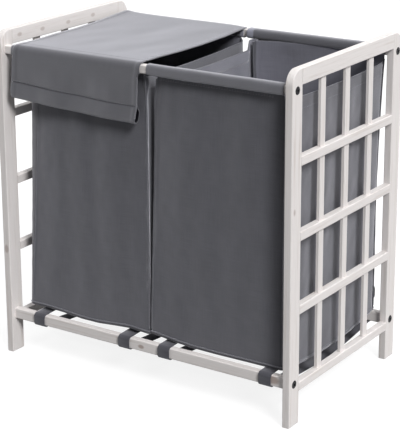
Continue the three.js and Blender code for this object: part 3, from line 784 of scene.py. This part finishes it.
def side_share(bag, face, along):
    """0 on the front and back, 1 on the side walls, and turning smoothly round the corners."""
    if bag.name == "right" and (face == 5 or (face == LEFT and along < TURNED_UP_REACH)):
        return float(smooth(face + along, *JUMP))
    if face % 2:
        return float(smooth(along if face in (1, 5) else 1 - along, 0.0, 0.9))
    return 1.0 if face in (RIGHT, LEFT) else 0.0


# %% [markdown]
# No bag in the photo is even. The left bag's free front corner curls out, and the right bag's rear
# corners turn forwards on its left and reach further back on its right.

# %% Build the walls
BODY_ROWS, HEM_ROWS = 96, 9
# The cloth bows out over its height, most at two thirds, as a hanging bag does
BELLY, SIDE_BELLY, INNER_BELLY = 6, 1.2, -0.6
BELLY_POWER, BELLY_PEAK = 2.2, 0.137
INNER_FACES = {"left": RIGHT, "right": LEFT}
CALM, COLUMN_PITCH, HEM_SAG = 0.45, 5 * MM, 3.5 * MM
CURLED_OUT, TURNED_FORWARD, DRAWN_IN, REACH_BACK = 5 * MM, 26 * MM, 3.5 * MM, 7 * MM


def wall_heights(low, high):
    """Heights from foot to top, with two close rows where the hem's lower edge makes a step."""
    below = low + (high - HEM - 0.4 * MM - low) * np.linspace(0, 1, BODY_ROWS)
    return np.concatenate([below, high - HEM + np.linspace(0.3 * MM, HEM, HEM_ROWS)])


def belly_push(bag, face, along, rise):
    size = SIDE_BELLY if face in (RIGHT, LEFT) else 0.0
    if face in (FRONT, REAR):
        size = BELLY * min(1.0, 6 * along * (1 - along))
    if face == INNER_FACES[bag.name]:
        size = INNER_BELLY
    return size * MM * rise ** BELLY_POWER * (1 - rise) / BELLY_PEAK


def corner_push(bag, face, along, share, foot_y, low, place):
    """How far the bags' uneven corners push the wall out, and how far back."""
    x, y, z = place
    out, back = np.zeros_like(z), np.zeros_like(z)
    if bag.name == "left":
        if face in (1, RIGHT):
            near = 1.0 if face == 1 else bell(foot_y + BODY_HALF_DEPTH, 14 * MM)
            out += CURLED_OUT * near * share * smooth(z, 530 * MM, 562 * MM)
        return out, back
    if face in (REAR, 5):
        near = np.exp(-(x - bag.corner("rear_left", z)) / (42 * MM)) if face == REAR else 1 - along
        out -= TURNED_FORWARD * near * smooth(z - low, 0, 300 * MM)
    if face in (RIGHT, 3):
        near = np.clip((y - 118 * MM) / (50 * MM), 0, 1) ** 2 if face == RIGHT else 1 - along
        out -= DRAWN_IN * near
    if face == RIGHT:
        back += REACH_BACK * smooth(y, 100 * MM, 165 * MM)
    if face == 3:
        back += REACH_BACK
    if face == REAR:
        back += REACH_BACK * np.exp(-(bag.corner("rear_right", z) - x) / (30 * MM))
    return out, back


def build_wall(bag):
    grid = np.zeros((BODY_ROWS + HEM_ROWS, len(COLUMNS), 3))
    thickness = np.full(grid.shape[:2], SINGLE)
    for number, (face, along) in enumerate(COLUMNS):
        share = side_share(bag, face, along)
        foot_x, foot_y = (float(v[0]) for v in plan_point(bag, face, along, np.array([BAG_FOOT]))[:2])
        low = foot_height(bag, foot_x, foot_y)
        side_top = bag.side_tops[RIGHT if face in (1, 2, 3) else LEFT] * MM
        side_top -= HEM_SAG * (1 - min(1, (foot_y / BODY_HALF_DEPTH) ** 2))
        high = (SLEEVE_BOTTOM + 2 * MM) * (1 - share) + side_top * share
        z = wall_heights(low, high)
        x, y, nx, ny = plan_point(bag, face, along, z)
        arc = number * COLUMN_PITCH
        swell = ripples(arc, z, (11 + bag.seed, 95, 420, 0.55), (31 + bag.seed, 38, 60, 0.16))
        swell *= CALM if face == INNER_FACES[bag.name] else 1.0
        held = smooth(z - low, 0, 30 * MM) * (1 - 0.75 * smooth(z, high - 26 * MM, high - 4 * MM))
        push = (fold_push(bag, face, x if face in (FRONT, REAR) else y, z) + swell) * held
        push += belly_push(bag, face, along, np.clip((z - low) / (high - low), 0, 1))
        out, back = corner_push(bag, face, along, share, foot_y, low, (x, y, z))
        extra = HEM_EXTRA * share * (z > high - HEM)
        thickness[:, number] += extra
        push += out - extra / 2
        grid[:, number] = np.stack([x + nx * push, y + back + ny * push, z], 1)
    # Outside and inside are copies of the cloth painted lighter, as painted light
    piece = cloth_shell(f"{bag.name}_bag_wall", grid, thickness, True, wall_canvas_painted_lighter, coated_back_painted_lighter)
    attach(piece, "frame")
    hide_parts(f"{bag.name}_bag")
    bag.grid, bag.normal, bag.thickness = grid, outward(grid, closed=True), thickness
    print(piece.name, len(piece.data.polygons), "faces")


for bag in bags:
    build_wall(bag)

# %% [markdown]
# ## The bags' floors
#
# The floor is one panel of the same cloth, sewn in along the foot. With nothing in the bag it still
# hangs lowest in the middle, because only its edge is held. It is a grid over the foot's outline,
# pulled to the wall's lowest ring at its edge.

# %% Build the floors
FLOOR_RINGS = 26


def build_floor(bag):
    ring = bag.grid[0]
    middle = np.array([ring[:, 0].mean(), 0, BAG_FOOT - FLOOR_SAG - 3 * MM])
    grid = np.zeros((FLOOR_RINGS, len(ring), 3))
    # The last ring stops just short of the middle, as its points may not fall together
    for step, share in enumerate(1 - np.linspace(0, 0.998, FLOOR_RINGS)):
        swell = ripples(*(ring[:, :2] * share).T, (5 + bag.seed, 90, 110, 0.8)) * (1 - share)
        grid[step] = middle + (ring - middle) * share
        grid[step, :, 2] = ring[:, 2] * share ** 2 + middle[2] * (1 - share ** 2) + swell
    # The floor's inside is the coated back, partly painted lighter as painted light
    piece = cloth_shell(f"{bag.name}_bag_floor", grid[::-1], SINGLE, closed=True, inside=coated_back_painted_lighter)
    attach(piece, "frame")


for bag in bags:
    build_floor(bag)

# %% [markdown]
# ## The sleeves
#
# The top of the front cloth goes up round the rail and comes down behind it, where it is stitched
# to itself. That makes an open tube, round on top, flat in front and sharp at its lower edge, where
# the two layers meet the wall. A perfect tube would look moulded, so the cloth swells a little
# along its length and puckers between the stitches.

# %% Build the sleeves
SLEEVE_ROWS, SLEEVE_COLUMNS, LOOP_ROWS = 90, 44, 12
# How square the sleeve's section is above and below, and how far the cloth stands off the rail
TOP_POWER, BOTTOM_POWER, RIGHT_REAR_POWER = 3.0, 4.5, 2.6
PROUD = {"left": 0.0, "right": 1.0 * MM}
UPRIGHT_SHARE = 0.3


def build_sleeve(name, bag, end, ends, rows=SLEEVE_ROWS, flare=0.0, outside=sleeve_canvas_painted_lighter):
    """end is -1 at the front and 1 at the rear; the sleeve runs from ends[0] to ends[1] along X, and
    is deeper at its left end by a share, flare."""
    left, right = (x * MM for x in ends)
    x = np.linspace(left, right, rows)
    grid = np.zeros((rows, SLEEVE_COLUMNS, 3))
    deep = SLEEVE_HALF_DEPTH - SINGLE / 2 + PROUD[bag.name]
    deep = deep * (1 - 0.1 * np.exp(-np.minimum(x - left, right - x) / (5 * MM)))
    deep *= 1 + flare * (right - x) / (right - left)
    tall = SLEEVE_HALF_HEIGHT - SINGLE / 2 + UPRIGHT_SHARE * PROUD[bag.name]
    bottom_power = RIGHT_REAR_POWER if (bag.name, end) == ("right", 1) else BOTTOM_POWER
    for column in range(SLEEVE_COLUMNS):
        angle = -math.pi / 2 + 2 * math.pi * column / SLEEVE_COLUMNS
        c, s = math.cos(angle), math.sin(angle)
        power = 2 / (TOP_POWER if s > 0 else bottom_power)
        swell = ripples(x, angle * 12 * MM, (17 + 3 * bag.seed + end, 110, 60, 0.35))
        pucker = ripples(x, 0.0, (23 + 3 * bag.seed + end, 15, 15, 0.22)) * float(smooth(-s, 0.3, 1.0))
        grid[:, column, 0] = x
        grid[:, column, 1] = end * RAIL_Y + deep * math.copysign(abs(c) ** power, c) + c * swell
        swell = UPRIGHT_SHARE * swell + pucker
        grid[:, column, 2] = RAIL_Z + tall * math.copysign(abs(s) ** power, s) + s * swell
    piece = cloth_shell(name, grid[::-1], SINGLE, closed=True, outside=outside)
    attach(piece, "frame")


# The sleeves' cloth is painted lighter than the lid's, as painted light
for bag in bags:
    for end, end_name in ((-1, "front"), (1, "rear")):
        build_sleeve(f"{bag.name}_bag_{end_name}_sleeve", bag, end, bag.sleeves[end])
# At the rear the side panels' corners are turned up round the rail, with their backs outwards
# Their cloth is painted lighter than the coated back, as painted light
build_sleeve("right_bag_rear_loop", bags[1], 1, (1.5, 13.5), LOOP_ROWS, 0.4, turned_up_painted_light)
build_sleeve("left_bag_rear_loop", bags[0], 1, (-21, -9), LOOP_ROWS, 0.0, turned_up_painted_light)
print("sleeves on rails", round(RAIL_Y / MM, 1), "mm from the middle")

# %% [markdown]
# ## Seams, hems and straps on the bags
#
# The front and back panels are sewn to the side panels in four upright seams, and the foot's seam is
# bound with tape, which shows as a pale line. The side walls' hems are stitched 20 mm down, and the
# front and back twice just under the sleeves. The straps are 25 mm polyester webbing: sewn under
# the floor's edge, they go over and under the lower rail and across beneath the bag, with slack.

# %% Dress the bags
STRAP_SIZE = {"Width": 25 * MM, "Thickness": 1.6 * MM}
STRAP_SAG, STRAP_BEND, STRAP_END = 14 * MM, 7 * MM, 20 * MM
# The left bag's front left seam lies nearer to the front
SEAM_PLACES = {"left": ((7, 0.9), (1, 0.5), (3, 0.5), (5, 0.5)),
               "right": ((7, 0.5), (1, 0.5), (3, 0.5), (5, 0.5))}


def column_at(face, along):
    return min(range(len(COLUMNS)), key=lambda k: abs(sum(COLUMNS[k]) - face - along))


def on_wall(bag, rows, columns, side, lift):
    """A run on the wall's outer face (side 1) or inner face (side -1)."""
    rows, columns = np.broadcast_arrays(rows, columns)
    normals = bag.normal[rows, columns] * side
    return Path(bag.grid[rows, columns], normals, bag.thickness[rows, columns][:, None] / 2 + lift)


def dress_bag(bag):
    rows = len(bag.grid)
    seams = [column_at(*place) for place in SEAM_PLACES[bag.name]]
    welts = [on_wall(bag, np.arange(2, rows), seam, 1, 0.3 * MM) for seam in seams]
    grow(f"{bag.name}_bag_corner_seams", PIPING, welts, SEAM)
    foot = Path(bag.grid[1], bag.normal[1], SINGLE / 2 + 0.6 * MM, loops=True)
    grow(f"{bag.name}_bag_foot_piping", PIPING, [foot], FOOT_SEAM)
    inside = [on_wall(bag, np.arange(2, rows - 2), seam, -1, 0.5 * MM) for seam in seams]
    grow(f"{bag.name}_bag_seam_tape", TAPE, inside, SEAM_TAPE)
    runs = []
    for face in (RIGHT, LEFT):
        columns = [k for k, place in enumerate(COLUMNS)
                   if abs(place[0] - face) <= 1 and side_share(bag, *place) > 0.6]
        runs += [on_wall(bag, rows - HEM_ROWS, columns, side, 0.1 * MM) for side in (1, -1)]
    for face in (FRONT, REAR):
        columns = [k for k, place in enumerate(COLUMNS) if place[0] == face]
        runs += [on_wall(bag, row, columns, 1, 0.1 * MM) for row in (rows - 4, rows - 5)]
    grow(f"{bag.name}_bag_stitches", STITCHES, runs, STITCH)


def strap_path(x, slack):
    """From under the bag's front edge over, round and under the front rail, and the same at the rear."""
    gap = 0.5 * MM + STRAP_SIZE["Thickness"] / 2
    face, back = -foot_low.y + gap + 1.4 * MM, -foot_high.y
    above, below = foot_high.z + gap, foot_low.z - gap - 1.2 * MM
    half = [(-back + STRAP_END, above + 0.6 * MM), (-back + 8 * MM, above + 0.4 * MM), (-back, above)]
    for centre_z, start in ((above - STRAP_BEND, 90), (below + STRAP_BEND, 180)):
        for angle in np.radians(start + np.linspace(0, 90, 6)):
            half.append((STRAP_BEND * (1 + math.cos(angle)) - face, centre_z + STRAP_BEND * math.sin(angle)))
    half += [(-back * (1 - step / 9), below - slack * (1 - (1 - step / 9) ** 2)) for step in range(9)]
    line = half + [(0.0, below - slack)] + [(-y, z) for y, z in reversed(half)]
    points = np.array([(x, y, z) for y, z in line])
    return Path(points, unit(np.cross(np.gradient(points, axis=0), np.array([1.0, 0.0, 0.0]))))


for bag in bags:
    dress_bag(bag)
    for number, (node, x) in enumerate(bag.straps.items()):
        path = strap_path(x, STRAP_SAG - number * 2 * MM)
        strap = grow(node.replace("_strap", "_webbing"), STRAPPING, [path], STRAP_SIZE, "frame")
        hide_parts(node)
print("straps at", [round(x / MM) for bag in bags for x in bag.straps.values()], "mm")

# %% [markdown]
# ## The lids
#
# A lid is one sheet, sewn to the rear sleeve. It lies over the front sleeve and folds down in
# front as a drop. It swings on the seam, and its drop swings on the fold, so the sheet is made in
# two pieces that meet on the flat top just behind the fold, where the joint shows least. A
# simulation could drape it, but a sheet this taut barely sags, so its slack is a low curve between
# the sleeves with a small random swell. The drop's foot is a wide tunnel hem, open at its ends.

# %% Places of the lids
lid_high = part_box("left_lid")[1]
flap_low, flap_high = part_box("left_lid_flap")
LID_HALF = 1.2 * MM
HINGE_Y, HINGE_Z = lid_high.y - LID_HALF, lid_high.z - LID_HALF
FOLD_Y = (flap_low.y + flap_high.y) / 2
LID_LENGTH, DROP_LENGTH, DROP_HEM = HINGE_Y - FOLD_Y, HINGE_Z - flap_low.z, 32 * MM
FOLD_RADIUS, LID_SAG = 12 * MM, 3.5 * MM
JOINT_BEFORE_FOLD = FOLD_RADIUS + 10 * MM
JOINT = LID_LENGTH - JOINT_BEFORE_FOLD
TUNNEL_FRONT, TUNNEL_BACK = 2.4 * MM, -9.5 * MM
# Across the lid: close columns at the two hems, even ones between, and thicker cloth in the hems
LID_WIDTH, LID_CLOTH, SIDE_HEM, SIDE_HEM_EXTRA = 272 * MM, 1.6 * MM, 8 * MM, 0.4 * MM
hem_shares = np.array([0, 2.5, 5, 7.4, 8.0]) * MM / LID_WIDTH
first_share = 8.6 * MM / LID_WIDTH
inner_shares = first_share + np.linspace(0, 1, 64)[1:-1] * (1 - 2 * first_share)
SHARES = np.concatenate([hem_shares, inner_shares, 1 - hem_shares[::-1]])
FROM_EDGE = np.minimum(SHARES, 1 - SHARES) * LID_WIDTH
LID_THICKNESS = LID_CLOTH + SIDE_HEM_EXTRA * (FROM_EDGE < SIDE_HEM - 0.2 * MM)


class Lid:
    """A lid's places in millimetres: its edges as (way from the hinge, place along X), how its drop's
    edges run as (way down, shift of the left edge, of the right edge), and its drop's lengths."""

    def __init__(self, name, seed, thrown_back, left_edge, right_edge, drop_edges, drop_ends):
        self.name, self.seed, self.thrown_back = name, seed, thrown_back
        self.left_edge, self.right_edge = np.array(left_edge).T, np.array(right_edge).T
        self.drop_edges, self.drop_ends = np.array(drop_edges).T, drop_ends

    def across(self, forward):
        """Places along X of every column, at a way from the hinge."""
        edges = (self.left_edge, self.right_edge)
        left, right = (np.interp(forward / MM, *edge)[..., None] * MM for edge in edges)
        return left + (right - left) * SHARES

    def place(self, x, forward, up):
        """A point of the sheet: forward from the hinge, and up from the sheet's plane when shut."""
        if self.thrown_back:
            return np.stack([x, HINGE_Y - up, HINGE_Z - forward], -1)
        return np.stack([x, HINGE_Y - forward, HINGE_Z + up], -1)


lids = [
    Lid("left", 1, False,
        [(0, -286), (72, -284), (134, -280), (184, -276.5), (233, -275.5), (302, -273.5), (377, -271)],
        [(0, -7.5), (35, -5.8), (61, -4.3), (93, -2.2), (136, -2), (177, -1.3), (226, -0.3), (280, 1),
         (339, 4), (377, 7)],
        [(0, 0, 0), (12, -1.5, -3.5), (75, -6, -7), (107, -6, -13)], (96, 107)),
    Lid("right", 2, True, [(0, 9), (30, 10), (90, 14), (377, 12)],
        [(0, 279), (25, 276), (70, 269), (377, 267)], [(0, 0, 0), (107, 0, 0)], (113, 116)),
]

# %% Build a lid's sheet
SHEET_START = {"left": 0.0, "right": 5.5 * MM}
CLOSE_REACH, CLOSE_ROWS, SHEET_ROWS = 24 * MM, 12, 80
# The sheet hangs free from 19.5 mm on, over 335 mm. Its last part lies over the front sleeve when shut
FREE_FROM, FREE_SPAN, OVER_SLEEVE = 19.5 * MM, 335 * MM, (250 * MM, 330 * MM)
SEAM_DIP, CORNER_DIP, EDGE_CURL, FALL_IN = 3.5 * MM, 4.0 * MM, 3.5 * MM, 2.5 * MM


def shut_height(lid, x, way):
    """How high a shut lid's cloth lies over the line from its seam to its fold."""
    hang = (way - FREE_FROM) / FREE_SPAN
    slack = -4 * LID_SAG * np.clip(hang, 0, 1) * (1 - np.clip(hang, 0, 1))
    slack = slack * (1 + 0.35 * np.exp(-np.minimum(x - x[:, :1], x[:, -1:] - x) / (22 * MM)))
    # The cloth goes down behind the sleeve to its seam, lowest where the sleeve has ended
    rounding = np.clip(1 - way / (13 * MM), 0, 1) ** 2
    corner = np.exp(-(x[:, -1:] - x) / (14 * MM)) * np.exp(-way / (45 * MM))
    curl = np.exp(-(x - x[:, :1]) / (25 * MM)) * (1 - smooth(way, 240 * MM, 330 * MM))
    return slack + lid_swell(lid, x, way) - SEAM_DIP * rounding - CORNER_DIP * corner + EDGE_CURL * curl


def lid_swell(lid, x, way):
    hang = (way - FREE_FROM) / FREE_SPAN
    swell = ripples(x, way, (41 + lid.seed, 120, 300, 0.55), (47 + lid.seed, 60, 90, 0.18))
    return swell * smooth(hang, 0.0, 0.2) * (1 - smooth(hang, 0.85, 1.0))


def thrown_height(lid, x, way):
    """The same for a lid that is thrown back, with gathers that run down from the seam."""
    up = (ripples(x, way, (71, 84, 900, 1.6)) + lid_swell(lid, x, way)) * smooth(way, 10 * MM, 120 * MM)
    up -= FALL_IN * smooth(way, 20 * MM, 150 * MM)
    return up * (1 - smooth(way, *OVER_SLEEVE))


def build_lid_sheet(lid):
    close = np.linspace(SHEET_START[lid.name], CLOSE_REACH, CLOSE_ROWS + 1)[:-1]
    forward = np.concatenate([close, np.linspace(CLOSE_REACH, JOINT, SHEET_ROWS)])
    x = lid.across(forward)
    way = forward[:, None] * np.ones_like(x)
    up = thrown_height(lid, x, way) if lid.thrown_back else shut_height(lid, x, way)
    lid.joint_up = up[-1]
    grid = lid.place(x, way, up)[:, ::-1]
    piece = cloth_shell(f"{lid.name}_lid_sheet", grid, LID_THICKNESS)
    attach(piece, f"{lid.name}_lid")
    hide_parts(f"{lid.name}_lid")
    faces = (outward(grid), -outward(grid))
    runs = [Path(grid[:, column], face[:, column], LID_CLOTH / 2 + 0.2 * MM)
            for column in (4, -5) for face in faces]
    grow(f"{lid.name}_lid_stitches", STITCHES, runs, STITCH, f"{lid.name}_lid")


# %% [markdown]
# The drop is drawn as a line across its cloth: how far along the cloth each point is, and how far
# it stands off from it. The line goes down the front, round the tunnel and up behind to the
# stitches. One function then lays the line over the fold on the shut lid, or straight down on the
# lid that is thrown back, so both lids have the same drop.

# %% Build a lid's drop
DROP_HEM_ROW, RIM_ROWS = 31, slice(18, 40)
BEFORE_FOLD = JOINT_BEFORE_FOLD - FOLD_RADIUS
FOLD_END = BEFORE_FOLD + math.pi / 2 * FOLD_RADIUS
STITCH_WAY, STITCH_PULL = 1.4 * MM, 1.0 * MM
# The cloth over the sleeve keeps still, and bends only in front of it
BEND_BEFORE_FOLD, BEND_BELOW_FOLD = 9 * MM, 25 * MM


def drop_line(length):
    """Way along the cloth from the joint, and distance out from its plane."""
    stitch = FOLD_END + length - FOLD_RADIUS - DROP_HEM
    line = [(way, 0.0) for way in np.linspace(0, FOLD_END, 16)]
    line += [(way, 0.0) for way in np.linspace(FOLD_END, stitch, 16)[1:]]
    # The stitches pull the front in before the tunnel swells
    line += [(stitch + 0.6 * MM, -1.3 * MM), (stitch + STITCH_WAY, -STITCH_PULL)]
    radius, middle = (TUNNEL_FRONT - TUNNEL_BACK) / 2, (TUNNEL_FRONT + TUNNEL_BACK) / 2
    foot = stitch + DROP_HEM - radius
    for share in np.linspace(0, 1, 9)[1:]:
        bulge = math.sin(math.pi / 2 * share ** 0.7)
        way = stitch + STITCH_WAY + (foot - stitch - STITCH_WAY) * share
        line.append((way, (TUNNEL_FRONT + STITCH_PULL) * bulge - STITCH_PULL))
    for angle in math.pi * np.arange(1, 9) / 9:
        line.append((foot + radius * math.sin(angle), middle + radius * math.cos(angle)))
    for share in np.linspace(0, 1, 11):
        out = TUNNEL_BACK + (-LID_CLOTH * 1.05 - TUNNEL_BACK) * float(smooth(share, 0.4, 1))
        line.append((foot + (stitch - 1 * MM - foot) * share, out))
    return np.array(line)


def lay_drop(lid, way, out):
    """Turn the drop's line into forward and up from the hinge: round the fold, or straight on."""
    turned = np.clip((way - BEFORE_FOLD) / (FOLD_END - BEFORE_FOLD), 0, 1)
    if lid.thrown_back:
        return JOINT + way + (2 * FOLD_RADIUS - (FOLD_END - BEFORE_FOLD)) * turned, out
    turn, radius = turned * math.pi / 2, FOLD_RADIUS + out
    forward = JOINT + np.minimum(way, BEFORE_FOLD) + radius * np.sin(turn)
    return forward, radius * np.cos(turn) - FOLD_RADIUS - np.clip(way - FOLD_END, 0, None)


def build_drop(lid):
    x_joint, x_fold = (lid.across(np.array([way]))[0] for way in (JOINT, LID_LENGTH))
    grid = np.zeros((len(drop_line(DROP_LENGTH)), len(SHARES), 3))
    for column, share in enumerate(SHARES):
        left_length, right_length = lid.drop_ends
        length = (left_length + (right_length - left_length) * (1 - (1 - share) ** 1.6)) * MM
        way, out = drop_line(length).T
        down = np.clip((way - FOLD_END) / DROP_LENGTH, 0, 1)
        swell = ripples(x_fold[column], way, (53 + lid.seed, 130, 500, 0.9), (59 + lid.seed, 45, 120, 0.22))
        forward, up = lay_drop(lid, way, out + swell * smooth(down, 0.05, 0.5))
        up = up + lid.joint_up[column] * (1 if lid.thrown_back else 1 - smooth(way, 0, 8 * MM))
        at, *leans = lid.drop_edges
        left_lean, right_lean = (np.interp(down * DROP_LENGTH / MM, at, lean) for lean in leans)
        x = x_joint[column] + (x_fold[column] - x_joint[column]) * np.clip(way / JOINT_BEFORE_FOLD, 0, 1)
        x += (left_lean * (1 - share) + right_lean * share) * MM
        grid[:, column] = lid.place(x, forward, up)
    grid = grid[:, ::-1]
    # From the hem row on, the tunnel's inside is painted near black as shade
    piece = cloth_shell(f"{lid.name}_lid_drop", grid, LID_THICKNESS, False, canvas, hem_inside_painted_shade, DROP_HEM_ROW)
    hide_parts(f"{lid.name}_lid_flap")
    corner, before = (lid.place(0.0, LID_LENGTH - way, 0.0) for way in (0.0, BEND_BEFORE_FOLD))
    after = corner - np.array([0, 0, BEND_BELOW_FOLD])
    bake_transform(piece, f"{lid.name}_lid", f"{lid.name}_lid_flap", start=tuple(before), end=tuple(after))
    normal = outward(grid)
    row = DROP_HEM_ROW - 1
    runs = [Path(grid[row], normal[row], LID_THICKNESS[:, None] / 2 + 0.2 * MM)]
    rims = [Path(grid[RIM_ROWS, column], normal[RIM_ROWS, column], LID_CLOTH / 2) for column in (0, -1)]
    grow(f"{lid.name}_drop_rims", PIPING, rims, RIM, f"{lid.name}_lid_flap")
    grow(f"{lid.name}_drop_stitches", STITCHES, runs, STITCH, f"{lid.name}_lid_flap")


for lid in lids:
    build_lid_sheet(lid)
    build_drop(lid)
print("lid sheet", round(LID_LENGTH / MM), "mm, drop", round(DROP_LENGTH / MM), "mm")
